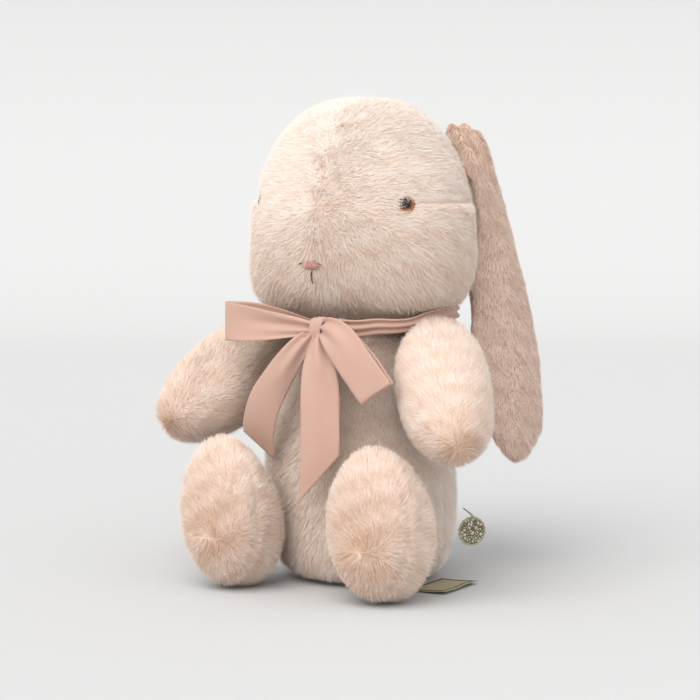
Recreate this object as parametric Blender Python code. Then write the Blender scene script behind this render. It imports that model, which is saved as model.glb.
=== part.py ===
"""A seated lop-eared plush rabbit, as the sewn toy comes apart on a bench.

Every stuffed form (head, body, arm, boot) is a set of rings from one pole to the other.
Its cover is cut into panels, which meet at seams, and its stuffing is the same form a
wall thickness further in. Metres, +Z up. The toy faces -Y, its left side is +X, and the
origin is the middle of the flat base that it sits on.
"""

import math

import bmesh
import bpy
import numpy as np

# Driving dimensions
GAP = 0.0003  # between touching pieces
COVER = 0.0045  # pile fabric, with its pile pressed flat
STUFFING_GAP = 0.0010
SEAM_COLUMNS = 20  # columns round the head and the body; the seams run along them
LIMB_COLUMNS = 16

HEAD_HALF_WIDTH = 0.081
HEAD_HALF_DEPTH = 0.0665
HEAD_WIDEST_Z = 0.218
HEAD_RISE = 0.103
HEAD_DROP = 0.043
MUZZLE_BULGE = 0.007
MUZZLE_Z = 0.238

EYE_ANGLE = math.radians(50.5)
EYE_Z = 0.251
EYE_RADIUS = 0.006
SHANK_RADIUS = 0.0015
WASHER_RADIUS = 0.0055

NOSE_Z = 0.212
NOSE_HALF_WIDTH = 0.0078
MOUTH_LENGTH = 0.009

NECK_Z = 0.1725
NECK_RADIUS = 0.0150
NECK_HALF_HEIGHT = 0.0022

BODY_DEPTH_RATIO = 0.94
BASE_THICKNESS = 0.003
POUCH_TOP = 0.021

SHOULDER = np.array([0.0550, -0.0115, 0.1480])  # middle of the flat seam where the arm is sewn on
ARM_FORWARD = math.radians(47)  # how far forward of straight out the arm points
ARM_DROP = math.radians(31)

# Where each leg is sewn on, and how far it is splayed; the toy sits with its right foot ahead
HIPS = {1: (0.0545, -0.0390, 0.033), -1: (0.0490, -0.0450, 0.033)}
LEG_SPLAY = {1: math.radians(6), -1: math.radians(3)}

EAR_THICKNESS = 0.0115

RIBBON_WIDTH = 0.025
RIBBON_THICKNESS = 0.0008
KNOT = np.array([0.0066, -0.0650, 0.1710])

TAIL_RADIUS = 0.0155
TAIL_Z = 0.040
TAG_CENTRE = np.array([0.0545, 0.0525, 0.027])
TAG_RADIUS = 0.010
LABEL_LENGTH = 0.044
LABEL_WIDTH = 0.028
LABEL_THICKNESS = 0.0008

# Name, colour and roughness of each stuff
PILE = ("pile_fabric", (0.72, 0.62, 0.55), 0.95)
SHORT_PILE = ("ear_pile_fabric", (0.58, 0.44, 0.36), 0.95)
FIBRE = ("stuffing_fibre", (0.90, 0.90, 0.88), 1.0)
PELLETS = ("pellet_pouch_cloth", (0.80, 0.80, 0.76), 0.9)
SATIN = ("ribbon_satin", (0.72, 0.44, 0.35), 0.4)
AMBER = ("eye_plastic", (0.22, 0.06, 0.015), 0.08)
WASHER = ("washer_plastic", (0.85, 0.85, 0.83), 0.5)
NOSE_THREAD = ("nose_thread", (0.55, 0.33, 0.27), 0.7)
MOUTH_THREAD = ("mouth_thread", (0.14, 0.09, 0.07), 0.7)
CARD = ("tag_card", (0.52, 0.47, 0.33), 0.8)
CORD = ("tag_thread", (0.70, 0.63, 0.48), 0.8)
WOVEN = ("woven_label", (0.46, 0.42, 0.28), 0.85)

FRONT = np.array([0.0, -1.0, 0.0])
UP = np.array([0.0, 0.0, 1.0])


def clear_scene():
    for obj in list(bpy.data.objects):
        bpy.data.objects.remove(obj, do_unlink=True)


def material(stuff):
    name, colour, roughness = stuff
    found = bpy.data.materials.get(name)
    if found:
        return found
    mat = bpy.data.materials.new(name)
    mat.use_nodes = True
    shader = mat.node_tree.nodes["Principled BSDF"]
    shader.inputs["Base Color"].default_value = (*colour, 1.0)
    shader.inputs["Roughness"].default_value = roughness
    return mat


def unit(v):
    v = np.asarray(v, float)
    return v / np.linalg.norm(v)


def mirror(points, side):
    """The points as they are for the left side (+1), mirrored in X for the right (-1)."""
    return np.asarray(points, float) * np.array([side, 1.0, 1.0])


def make_object(name, points, faces, stuff, origin=(0, 0, 0), smooth=True):
    """One closed body with its faces pointing out and its origin on its joint's axis."""
    origin = np.asarray(origin, float)
    bm = bmesh.new()
    verts = [bm.verts.new(p - origin) for p in np.asarray(points, float)]
    for face in faces:
        corners = list(dict.fromkeys(face))
        if len(corners) > 2:
            bm.faces.new([verts[i] for i in corners])
    bmesh.ops.remove_doubles(bm, verts=bm.verts, dist=1e-6)
    bmesh.ops.dissolve_degenerate(bm, edges=bm.edges, dist=1e-7)
    bmesh.ops.recalc_face_normals(bm, faces=bm.faces)
    if bm.calc_volume(signed=True) < 0:
        bmesh.ops.reverse_faces(bm, faces=bm.faces)
    mesh = bpy.data.meshes.new(name)
    bm.to_mesh(mesh)
    bm.free()
    if smooth:
        mesh.shade_smooth()
        mesh.set_sharp_from_angle(angle=math.radians(40))
    mesh.materials.append(material(stuff))
    obj = bpy.data.objects.new(name, mesh)
    obj.location = origin
    bpy.context.scene.collection.objects.link(obj)
    return obj


# Forms: arrays of rings, each SEAM_COLUMNS points, that run from one pole to the other


def is_pole(ring):
    return np.ptp(ring, axis=0).max() < 1e-7


def normals(rings):
    """The outward direction at every point of a form."""
    across = np.roll(rings, -1, axis=1) - np.roll(rings, 1, axis=1)
    along = np.gradient(rings, axis=0)
    n = np.cross(across, along)
    centres = rings.mean(axis=1, keepdims=True)
    middle = len(rings) // 2
    if (n[middle] * (rings[middle] - centres[middle])).sum() < 0:
        n = -n
    for end, inward in ((0, 1), (-1, -2)):
        if is_pole(rings[end]):
            n[end] = centres[end] - centres[inward]
    return n / np.maximum(np.linalg.norm(n, axis=2, keepdims=True), 1e-12)


def inset(rings, depth):
    return rings - normals(rings) * depth


def panel(name, outer, inner, stuff, columns, rows=None, shift=(0, 0, 0), origin=(0, 0, 0)):
    """A thick sheet of the form between two seams, or all round it where columns is None."""
    rows = list(rows if rows is not None else range(len(outer)))
    wraps = columns is None
    columns = list(range(outer.shape[1]) if wraps else columns)
    pick = np.ix_(rows, [c % outer.shape[1] for c in columns])
    skins = [outer[pick] + shift, inner[pick] + shift]
    n_rows, n_cols = len(rows), len(columns)
    points = np.concatenate([s.reshape(-1, 3) for s in skins])

    def at(skin, r, c):
        return skin * n_rows * n_cols + r * n_cols + c % n_cols

    steps = n_cols if wraps else n_cols - 1
    faces = []
    for r in range(n_rows - 1):
        for c in range(steps):
            faces.append([at(0, r, c), at(0, r, c + 1), at(0, r + 1, c + 1), at(0, r + 1, c)])
            faces.append([at(1, r + 1, c), at(1, r + 1, c + 1), at(1, r, c + 1), at(1, r, c)])
        if not wraps:
            for c in (0, n_cols - 1):
                faces.append([at(0, r, c), at(0, r + 1, c), at(1, r + 1, c), at(1, r, c)])
    for r in (0, n_rows - 1):
        if not is_pole(outer[rows[r]]):
            for c in range(steps):
                faces.append([at(0, r, c), at(0, r, c + 1), at(1, r, c + 1), at(1, r, c)])
    return make_object(name, points, merge_poles(faces, points), stuff, origin)


def merge_poles(faces, points):
    """Faces that name one index for all the points that sit at one place."""
    first = {}
    same = []
    for i, p in enumerate(np.round(points, 7)):
        same.append(first.setdefault(tuple(p), i))
    return [[same[i] for i in face] for face in faces]


def solid(name, rings, stuff, origin=(0, 0, 0), closed=False):
    """The whole form as one solid, its open ends capped, or a closed loop of rings."""
    n_rows, n_cols = rings.shape[:2]
    points = rings.reshape(-1, 3)
    faces = []
    for r in range(n_rows - 1):
        for c in range(n_cols):
            d = (c + 1) % n_cols
            faces.append([r * n_cols + c, r * n_cols + d, (r + 1) * n_cols + d, (r + 1) * n_cols + c])
    for r in (0, n_rows - 1):
        if not closed and not is_pole(rings[r]):
            faces.append([r * n_cols + c for c in range(n_cols)])
    return make_object(name, points, merge_poles(faces, points), stuff, origin)


def ellipse_ring(centre, half_across, half_up, across, up, count=SEAM_COLUMNS):
    """Starts on the side of -up and turns towards across."""
    angles = np.arange(count) * (2 * math.pi / count)
    return (
        centre
        + np.outer(np.sin(angles) * half_across, across)
        - np.outer(np.cos(angles) * half_up, up)
    )


def halves(name, outer, inner, stuff, words, apart, side=1, origin=(0, 0, 0), rows=None):
    """Two panels that meet along the form's first and middle columns."""
    half = outer.shape[1] // 2
    for word, start, way in ((words[0], 0, 1), (words[1], half, -1)):
        panel(
            f"{name}_{word}",
            outer,
            inner,
            stuff,
            range(start, start + half + 1),
            rows,
            mirror(apart, side) * way * GAP / 2,
            origin,
        )


# Head


def head_radius(lat):
    return max(math.cos(lat), 0.0) ** (0.78 if lat >= 0 else 0.42)


def head_height(lat):
    return HEAD_WIDEST_Z + (HEAD_RISE if lat >= 0 else HEAD_DROP) * math.sin(lat)


def head_point(lon, lat):
    """lon 0 is the nose's direction, and turns towards the left side."""
    r, z = head_radius(lat), head_height(lat)
    near = math.exp(-((math.remainder(lon, 2 * math.pi) / 0.65) ** 2) - ((z - MUZZLE_Z) / 0.022) ** 2)
    depth = HEAD_HALF_DEPTH + MUZZLE_BULGE * near
    return [HEAD_HALF_WIDTH * r * math.sin(lon), -depth * r * math.cos(lon), z]


def head_rings(rows=15):
    lats = [math.radians(-90 + 180 * i / (rows - 1)) for i in range(rows)]
    lats[0], lats[-1] = -math.pi / 2, math.pi / 2
    columns = [2 * math.pi * c / SEAM_COLUMNS for c in range(SEAM_COLUMNS)]
    rings = np.array([[head_point(lon, lat) for lon in columns] for lat in lats])
    for end in (0, -1):
        rings[end] = rings[end].mean(axis=0)
    return rings


def on_head(lon, z):
    """The head's surface at a height above or below its widest ring."""
    reach = HEAD_RISE if z >= HEAD_WIDEST_Z else HEAD_DROP
    return np.array(head_point(lon, math.asin((z - HEAD_WIDEST_Z) / reach)))


def head_normal(lon, z):
    step = 0.01
    across = on_head(lon + step, z) - on_head(lon - step, z)
    up = on_head(lon, z + step * 0.1) - on_head(lon, z - step * 0.1)
    return unit(np.cross(across, up))


def turned(name, profile, start, direction, stuff, count=LIMB_COLUMNS):
    """A turned piece: profile is (distance along direction, radius) from pole to pole,
    or back to its own start for a ring."""
    direction = unit(direction)
    across = unit(np.cross(UP, direction))
    up = np.cross(direction, across)
    rings = [ellipse_ring(start + direction * d, r, r, across, up, count) for d, r in profile]
    return solid(name, np.array(rings), stuff, closed=profile[0] == profile[-1] and profile[0][1] > 0)


def cut(obj, cutter):
    """Cuts obj with cutter, which stays as a hidden guide."""
    cutter.hide_render = True
    cutter.display_type = "WIRE"
    boolean = obj.modifiers.new(cutter.name, "BOOLEAN")
    boolean.operation = "DIFFERENCE"
    boolean.solver = "EXACT"
    boolean.object = cutter


def dome_profile(radius, base, height, rings=4):
    """From the middle of the base to the top of the dome."""
    arc = [math.pi / 2 * i / rings for i in range(rings + 1)]
    return [(base + height * math.sin(a), radius * math.cos(a)) for a in arc]


def eye(side, cover, stuffing):
    word = "left" if side > 0 else "right"
    place = mirror(on_head(EYE_ANGLE, EYE_Z), side)
    out = mirror(head_normal(EYE_ANGLE, EYE_Z), side)
    seat = -0.0030  # the dome's flat back, under the pile
    washer_face = -COVER - 0.0016
    washer_back = washer_face - 0.0014
    shank_end = washer_back - 0.0020
    dome = [
        (shank_end, 0.0),
        (shank_end, SHANK_RADIUS),
        (seat, SHANK_RADIUS),
        *dome_profile(EYE_RADIUS, seat, 0.0055),
    ]
    turned(f"{word}_eye", dome, place, out, AMBER)
    recess = [(seat - GAP, 0), (seat - GAP, EYE_RADIUS + GAP), (0.006, EYE_RADIUS + GAP), (0.006, 0)]
    cut(cover, turned(f"{word}_eye_recess", recess, place, out, AMBER))
    bore = [(-0.02, 0), (-0.02, SHANK_RADIUS + GAP), (0, SHANK_RADIUS + GAP), (0, 0)]
    cut(cover, turned(f"{word}_eye_bore", bore, place, out, AMBER))
    inner = SHANK_RADIUS + GAP
    washer = [
        (washer_back, inner),
        (washer_back, WASHER_RADIUS),
        (washer_face, WASHER_RADIUS),
        (washer_face, inner),
        (washer_back, inner),
    ]
    turned(f"{word}_eye_washer", washer, place, out, WASHER)
    room = WASHER_RADIUS + 0.0008
    pocket = [(shank_end - 0.001, 0), (shank_end - 0.001, room), (0.001, room), (0.001, 0)]
    cut(stuffing, turned(f"{word}_washer_pocket", pocket, place, out, FIBRE))


def patch(name, lons, heights, lift, thickness, stuff):
    """A thin sheet that lies over the head: lons and heights give each row of its grid."""
    outer, inner = [], []
    for row, z in zip(lons, heights):
        base = [on_head(lon, z) for lon in row]
        out = [head_normal(lon, z) for lon in row]
        outer.append([p + n * (lift + thickness) for p, n in zip(base, out)])
        inner.append([p + n * lift for p, n in zip(base, out)])
    return panel(name, np.array(outer), np.array(inner), stuff, range(len(lons[0])))


def embroidery():
    half = NOSE_HALF_WIDTH / HEAD_HALF_DEPTH
    fan = [[half * widen * k / 3 for k in range(-3, 4)] for widen in (0.25, 0.7, 1.0)]
    heights = [NOSE_Z - 0.003, NOSE_Z, NOSE_Z + 0.003]
    patch("nose_embroidery", fan, heights, 0.0004, 0.0009, NOSE_THREAD)
    stitch = 0.0006 / HEAD_HALF_DEPTH
    rows = [NOSE_Z - 0.0035 - MOUTH_LENGTH * k / 3 for k in range(3, -1, -1)]
    patch("mouth_stitch", [[-stitch, stitch]] * 4, rows, 0.0004, 0.0009, MOUTH_THREAD)


def head():
    outer = head_rings()
    inner = inset(outer, COVER)
    half = SEAM_COLUMNS // 2
    covers = {}
    for word, start, way in (("left", 0, 1), ("right", half, -1)):
        shift = np.array([way * GAP / 2, 0, 0])
        columns = range(start, start + half + 1)
        covers[word] = panel(f"head_{word}_panel", outer, inner, PILE, columns, shift=shift)
    stuffing = solid("head_stuffing", inset(outer, COVER + STUFFING_GAP), FIBRE)
    for side, word in ((1, "left"), (-1, "right")):
        eye(side, covers[word], stuffing)
    embroidery()


def neck():
    lats = [math.radians(-90 + 30 * i) for i in range(7)]
    rings = [
        ellipse_ring(
            np.array([0, 0, NECK_Z + NECK_HALF_HEIGHT * math.sin(a)]),
            NECK_RADIUS * math.cos(a),
            NECK_RADIUS * math.cos(a),
            np.array([1.0, 0, 0]),
            -FRONT,
        )
        for a in lats
    ]
    rings[0][:] = rings[0].mean(axis=0)
    rings[-1][:] = rings[-1].mean(axis=0)
    solid("neck_stuffing", np.array(rings), FIBRE, origin=(0, 0, NECK_Z))


# Body

# Height and half width of the body, from the flat base to the middle of the neck
BODY_OUTLINE = [
    (0.000, 0.047),
    (0.006, 0.056),
    (0.018, 0.0625),
    (0.036, 0.0655),
    (0.058, 0.0660),
    (0.082, 0.0640),
    (0.106, 0.0585),
    (0.128, 0.0535),
    (0.146, 0.0505),
    (0.158, 0.0470),
    (0.1655, 0.0390),
    (0.1690, 0.0240),
    (0.1695, 0.0),
]


def body_ring(z, half_width):
    across = np.array([1.0, 0, 0])
    return ellipse_ring(np.array([0, 0, z]), half_width, half_width * BODY_DEPTH_RATIO, across, -FRONT)


def body():
    outer = np.array([body_ring(z, r) for z, r in BODY_OUTLINE])
    inner = inset(outer, COVER)
    inner[0, :, 2] = 0.0
    quarter = SEAM_COLUMNS // 4
    for word, start, way in (("back", quarter, 1), ("front", 3 * quarter, -1)):
        shift = np.array([0, way * GAP / 2, 0])
        columns = range(start, start + 2 * quarter + 1)
        panel(f"body_{word}_panel", outer, inner, PILE, columns, shift=shift)
    rim = BODY_OUTLINE[0][1] - COVER - 2 * GAP
    disc = [(z, r) for z, r in ((0, 0), (0, rim), (BASE_THICKNESS, rim), (BASE_THICKNESS, 0))]
    solid("base_panel", np.array([body_ring(z, r) for z, r in disc]), PILE)
    room = inset(outer, COVER + STUFFING_GAP)
    floor = BASE_THICKNESS + STUFFING_GAP
    pouch = [(floor, 0), (floor, 0.034), (0.007, 0.041), (0.014, 0.044), (POUCH_TOP - 0.001, 0.038), (POUCH_TOP, 0)]
    solid("pellet_pouch", np.array([body_ring(z, r) for z, r in pouch]), PELLETS)
    above = [r for r in room if r[0, 2] > POUCH_TOP + 0.006]
    low = above[0].copy()
    low[:, 2] = POUCH_TOP + STUFFING_GAP
    low[:, :2] *= 0.93
    bottom = np.tile(low.mean(axis=0), (SEAM_COLUMNS, 1))
    solid("body_stuffing", np.array([bottom, low, *above]), FIBRE)


def tail():
    """A round pile tail, which touches the back seam."""
    body_back = 0.0657 * BODY_DEPTH_RATIO
    middle = np.array([0, body_back + TAIL_RADIUS + 2 * GAP, TAIL_Z])
    lats = [math.radians(-90 + 22.5 * i) for i in range(9)]
    profile = [(TAIL_RADIUS * math.sin(a), TAIL_RADIUS * max(math.cos(a), 0.0)) for a in lats]
    profile[0], profile[-1] = (-TAIL_RADIUS, 0.0), (TAIL_RADIUS, 0.0)
    turned("tail", profile, middle, -FRONT, PILE)


# Arms

# Distance along the arm from the middle of its round top, and radius
ARM_OUTLINE = [
    (-0.0250, 0.0),
    (-0.0228, 0.0112),
    (-0.0168, 0.0200),
    (-0.0070, 0.0258),
    (0.0070, 0.0285),
    (0.0230, 0.0300),
    (0.0420, 0.0308),
    (0.0600, 0.0298),
    (0.0760, 0.0258),
    (0.0880, 0.0184),
    (0.0945, 0.0103),
    (0.0965, 0.0),
]


def flattened(rings, side, depth=0.0):
    """The arm's rings with the inner side pressed flat against the body's side."""
    flat = rings.copy()
    limit = SHOULDER[0] + depth
    flat[..., 0] = side * np.maximum(side * rings[..., 0], limit)
    return flat


def arm(side):
    word = "left" if side > 0 else "right"
    out = np.array([math.cos(ARM_FORWARD), -math.sin(ARM_FORWARD), 0])
    along = out * math.cos(ARM_DROP) - UP * math.sin(ARM_DROP)
    across = unit(np.cross(UP, along))
    up = np.cross(along, across)
    top = SHOULDER + np.array([0.004, 0, 0])
    rings = np.array([ellipse_ring(top + along * d, r, r, across, up, LIMB_COLUMNS) for d, r in ARM_OUTLINE])
    rings = mirror(rings, side)
    outer = flattened(rings, side)
    inner = flattened(inset(rings, COVER), side, COVER)
    fill = flattened(inset(rings, COVER + 2 * STUFFING_GAP), side, COVER + 2 * STUFFING_GAP)
    pivot = mirror(SHOULDER, side)
    halves(f"{word}_arm", outer, inner, PILE, ("outer_panel", "inner_panel"), across, side, pivot)
    solid(f"{word}_arm_stuffing", fill, FIBRE, pivot)


# Legs

# Distance forward of the hip seam, half width, half height, and middle's height above the floor
BOOT_OUTLINE = [
    (0.000, 0.0, 0.0, 0.0330),
    (0.003, 0.0080, 0.0100, 0.0330),
    (0.009, 0.0160, 0.0200, 0.0330),
    (0.017, 0.0235, 0.0285, 0.0355),
    (0.025, 0.0295, 0.0395, 0.0425),
    (0.033, 0.0335, 0.0485, 0.0495),
    (0.042, 0.0350, 0.0520, 0.0523),
    (0.051, 0.0325, 0.0485, 0.0523),
    (0.058, 0.0265, 0.0405, 0.0523),
    (0.062, 0.0170, 0.0270, 0.0523),
    (0.0635, 0.0, 0.0, 0.0523),
]
SOLE_ROW = 7  # the sole panel is the form from this ring to the front


def boot(side):
    word = "left" if side > 0 else "right"
    hip = np.array(HIPS[side])
    splay = LEG_SPLAY[side]
    forward = np.array([math.sin(splay), -math.cos(splay), 0])
    across = np.array([math.cos(splay), math.sin(splay), 0])
    rings = []
    for d, half_width, half_height, height in BOOT_OUTLINE:
        centre = hip + forward * d
        centre[2] = height
        rings.append(ellipse_ring(centre, half_width, half_height, across, UP, LIMB_COLUMNS))
    rings = mirror(rings, side)
    inner = inset(rings, COVER)
    pivot = mirror(hip, side)
    words = ("outer_panel", "inner_panel")
    upper = range(0, SOLE_ROW + 1)
    halves(f"{word}_leg", rings, inner, PILE, words, across, side, pivot, upper)
    sole = range(SOLE_ROW, len(rings))
    ahead = mirror(forward, side) * GAP
    panel(f"{word}_foot_sole", rings, inner, PILE, None, sole, ahead, pivot)
    solid(f"{word}_leg_stuffing", inset(rings, COVER + STUFFING_GAP)[1:-1], FIBRE, pivot)


# Ears

# Front edge, back edge and share of the full thickness, from the seam on the head to the tip
EAR_ROWS = [
    ((0.0577, 0.0420, 0.2665), (0.0393, 0.0399, 0.2975), 0.35),
    ((0.0590, 0.0452, 0.2640), (0.0408, 0.0479, 0.3030), 0.75),
    ((0.0606, 0.0473, 0.2560), (0.0473, 0.0602, 0.3010), 1),
    ((0.0623, 0.0484, 0.2440), (0.0518, 0.0690, 0.2850), 1),
    ((0.0633, 0.0490, 0.2290), (0.0594, 0.0748, 0.2600), 1),
    ((0.0648, 0.0476, 0.2100), (0.0684, 0.0793, 0.2280), 1),
    ((0.0677, 0.0435, 0.1900), (0.0755, 0.0802, 0.1960), 1),
    ((0.0713, 0.0387, 0.1670), (0.0801, 0.0831, 0.1680), 1),
    ((0.0755, 0.0342, 0.1400), (0.0848, 0.0860, 0.1390), 1),
    ((0.0785, 0.0338, 0.1150), (0.0861, 0.0868, 0.1130), 0.95),
    ((0.0799, 0.0382, 0.0960), (0.0867, 0.0825, 0.0940), 0.9),
    ((0.0810, 0.0459, 0.0835), (0.0872, 0.0746, 0.0820), 0.7),
    ((0.0827, 0.0564, 0.0765), (0.0855, 0.0641, 0.0765), 0.4),
]
EAR_COLUMNS = 6  # round each face of the ear


def ear(side):
    """Two lens-shaped layers, the lining towards the head."""
    word = "left" if side > 0 else "right"
    front = np.array([row[0] for row in EAR_ROWS])
    back = np.array([row[1] for row in EAR_ROWS])
    line = (front + back) / 2
    runs = np.gradient(line, axis=0)
    pivot = mirror(back[0], side)
    angles = [math.pi * c / EAR_COLUMNS for c in range(EAR_COLUMNS + 1)]
    for layer, way in (("outer_panel", 1), ("lining_panel", -1)):
        crown, flat = [], []
        for a, b, p, run, (_, _, share) in zip(front, back, line, runs, EAR_ROWS):
            half = (b - a) / 2
            out = unit(np.cross(half, run))
            out = out * (1 if out[0] > 0 else -1)
            thickness = EAR_THICKNESS / 2 * share
            lie = [p + half * math.cos(t) + out * way * GAP / 2 for t in angles]
            flat.append(lie)
            edge = 0.0006  # the seam allowance's thickness
            crown.append(
                [q + out * way * (edge + (thickness - edge) * math.sin(t)) for q, t in zip(lie, angles)]
            )
        stuff = SHORT_PILE if layer == "outer_panel" else PILE
        columns = range(EAR_COLUMNS + 1)
        panel(
            f"{word}_ear_{layer}",
            mirror(crown, side),
            mirror(flat, side),
            stuff,
            columns,
            origin=pivot,
        )


# Ribbon


def smooth_route(points, steps):
    """A curve through the points, steps to each span."""
    p = np.asarray(points, float)
    p = np.vstack([2 * p[0] - p[1], p, 2 * p[-1] - p[-2]])
    route = []
    for i in range(1, len(p) - 2):
        for k in range(steps):
            t = k / steps
            a, b, c, d = p[i - 1 : i + 3]
            route.append(
                0.5
                * (2 * b + (c - a) * t + (2 * a - 5 * b + 4 * c - d) * t**2 + (3 * b - a - 3 * c + d) * t**3)
            )
    route.append(p[-2])
    return np.array(route)


def strip(name, route, across, widths):
    """A flat band along a route; across and widths are given at its two ends."""
    n = len(route)
    runs = np.gradient(route, axis=0)
    outer, inner = [], []
    for i, (p, run) in enumerate(zip(route, runs)):
        t = i / (n - 1)
        lie = np.asarray(across[0], float) * (1 - t) + np.asarray(across[1], float) * t
        lie = unit(lie - run * (lie @ run) / (run @ run))
        width = widths[0] * (1 - t) + widths[1] * t
        face = np.cross(unit(run), lie) * RIBBON_THICKNESS / 2
        edges = [p + lie * width * k for k in (-0.5, 0, 0.5)]
        outer.append([q + face for q in edges])
        inner.append([q - face for q in edges])
    return panel(name, np.array(outer), np.array(inner), SATIN, range(3))


BAND_HALF_WIDTH = 0.0520
BAND_HEIGHT = 0.009
BAND_FRONT_Z = 0.1640
BAND_BACK_Z = 0.1670


def neck_band():
    start = math.radians(10)
    turn = 2 * math.pi - 2 * start
    count = 32
    route = []
    for i in range(count + 1):
        a = start + turn * i / count
        z = BAND_FRONT_Z + (BAND_BACK_Z - BAND_FRONT_Z) * (1 - math.cos(a)) / 2
        route.append([BAND_HALF_WIDTH * math.sin(a), -BAND_HALF_WIDTH * math.cos(a), z])
    strip("ribbon_neck_band", np.array(route), (UP, UP), (BAND_HEIGHT, BAND_HEIGHT))


def knot():
    lats = [math.radians(-90 + 30 * i) for i in range(7)]
    half = np.array([0.0062, 0.0048, 0.0085])
    rings = [
        ellipse_ring(
            KNOT + UP * half[2] * math.sin(a),
            half[0] * max(math.cos(a), 0.0) ** 0.6,
            half[1] * max(math.cos(a), 0.0) ** 0.6,
            np.array([1.0, 0, 0]),
            -FRONT,
            12,
        )
        for a in lats
    ]
    rings[0][:] = rings[0].mean(axis=0)
    rings[-1][:] = rings[-1].mean(axis=0)
    solid("ribbon_knot", np.array(rings), SATIN)


def bow():
    """Each stretch starts just clear of the knot and is named by the side it lies on."""
    right_loop = [
        (-0.0020, -0.0680, 0.1720),
        (-0.0240, -0.0760, 0.1725),
        (-0.0540, -0.0780, 0.1737),
        (-0.0590, -0.0745, 0.1738),
        (-0.0540, -0.0710, 0.1740),
        (-0.0240, -0.0660, 0.1735),
        (-0.0020, -0.0640, 0.1725),
    ]
    strip("ribbon_right_loop", smooth_route(right_loop, 3), (UP, UP), (0.016, 0.016))
    slope = unit([0.67, 0, 0.74])
    left_loop = [
        (0.0180, -0.0690, 0.1680),
        (0.0310, -0.0735, 0.1580),
        (0.0490, -0.0760, 0.1390),
        (0.0530, -0.0735, 0.1350),
        (0.0490, -0.0710, 0.1390),
        (0.0310, -0.0680, 0.1580),
        (0.0180, -0.0650, 0.1680),
    ]
    strip("ribbon_left_loop", smooth_route(left_loop, 3), (slope, slope), (0.018, 0.018))
    centre_tail = [
        (0.0080, -0.0720, 0.1600),
        (0.0100, -0.0745, 0.1450),
        (0.0140, -0.0775, 0.1150),
        (0.0146, -0.0775, 0.0900),
        (0.0130, -0.0770, 0.0640),
    ]
    flat = np.array([1.0, 0, 0])
    strip("ribbon_center_tail", smooth_route(centre_tail, 3), (flat, flat), (0.012, RIBBON_WIDTH))
    right_tail = [
        (-0.0050, -0.0690, 0.1600),
        (-0.0130, -0.0690, 0.1480),
        (-0.0280, -0.0670, 0.1240),
        (-0.0430, -0.0590, 0.0960),
    ]
    lean = unit([0.9, -0.35, 0.3])
    strip("ribbon_right_tail", smooth_route(right_tail, 3), (flat, lean), (0.010, 0.018))


# Tags


def swing_tag():
    """A scalloped card disc that hangs by its hole from a thread loop."""
    face = unit([math.sin(math.radians(52)), -math.cos(math.radians(52)), 0])
    across = unit(np.cross(UP, face))
    scallops, per_scallop = 18, 3
    outline = []
    for i in range(scallops * per_scallop):
        a = 2 * math.pi * i / (scallops * per_scallop)
        r = TAG_RADIUS * (1 - 0.05 * (i % per_scallop == 0))
        outline.append(TAG_CENTRE + across * r * math.cos(a) + UP * r * math.sin(a))
    thick = 0.0009
    rings = np.array([np.array(outline) + face * thick * k for k in (-0.5, 0.5)])
    hole_at = TAG_CENTRE + UP * (TAG_RADIUS - 0.0028)
    tag = solid("swing_tag", rings, CARD, origin=hole_at)
    hole = [(-0.003, 0), (-0.003, 0.0013), (0.003, 0.0013), (0.003, 0)]
    cut(tag, turned("tag_hole", hole, hole_at, face, CARD, 12))
    anchor = hole_at + np.array([-0.0045, -0.0035, 0.0085])
    route = smooth_route(
        [
            anchor,
            hole_at + face * 0.0022 + UP * 0.0035,
            hole_at + face * 0.0016,
            hole_at,
            hole_at - face * 0.0016,
            hole_at - face * 0.0022 + UP * 0.0035,
            anchor - face * 0.0014,
        ],
        3,
    )
    tube("tag_thread", route, 0.0004, CORD)


def tube(name, route, radius, stuff):
    runs = np.gradient(route, axis=0)
    side = unit(np.cross(runs[0], UP))
    rings = []
    for p, run in zip(route, runs):
        side = unit(side - run * (side @ run) / (run @ run))
        rings.append(ellipse_ring(p, radius, radius, side, unit(np.cross(run, side)), 6))
    solid(name, np.array(rings), stuff)


def label():
    """A woven strip sewn into the base seam at the left hip, lying flat on the floor."""
    near = BODY_OUTLINE[0][1] + 0.0055
    y = 0.014 - LABEL_LENGTH
    x = [near, near + LABEL_WIDTH]
    corners = [(x[0], y, 0), (x[1], y, 0), (x[1], y + LABEL_LENGTH, 0), (x[0], y + LABEL_LENGTH, 0)]
    ring = np.array(corners, float)
    rings = np.array([ring, ring + UP * LABEL_THICKNESS])
    pivot = (near, y + LABEL_LENGTH / 2, LABEL_THICKNESS / 2)
    obj = solid("sewn_label", rings, WOVEN, origin=pivot)
    obj.data.shade_flat()


def main():
    clear_scene()
    head()
    neck()
    body()
    tail()
    for side in (1, -1):
        arm(side)
        boot(side)
        ear(side)
    neck_band()
    knot()
    bow()
    swing_tag()
    label()


main()
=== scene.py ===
"""A seated plush rabbit with a ribbon bow: its looks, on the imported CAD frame. Metres, Z up."""

import math

import bmesh
import bpy
import numpy as np
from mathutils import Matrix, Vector
from mathutils.bvhtree import BVHTree
from mathutils.kdtree import KDTree


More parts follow.
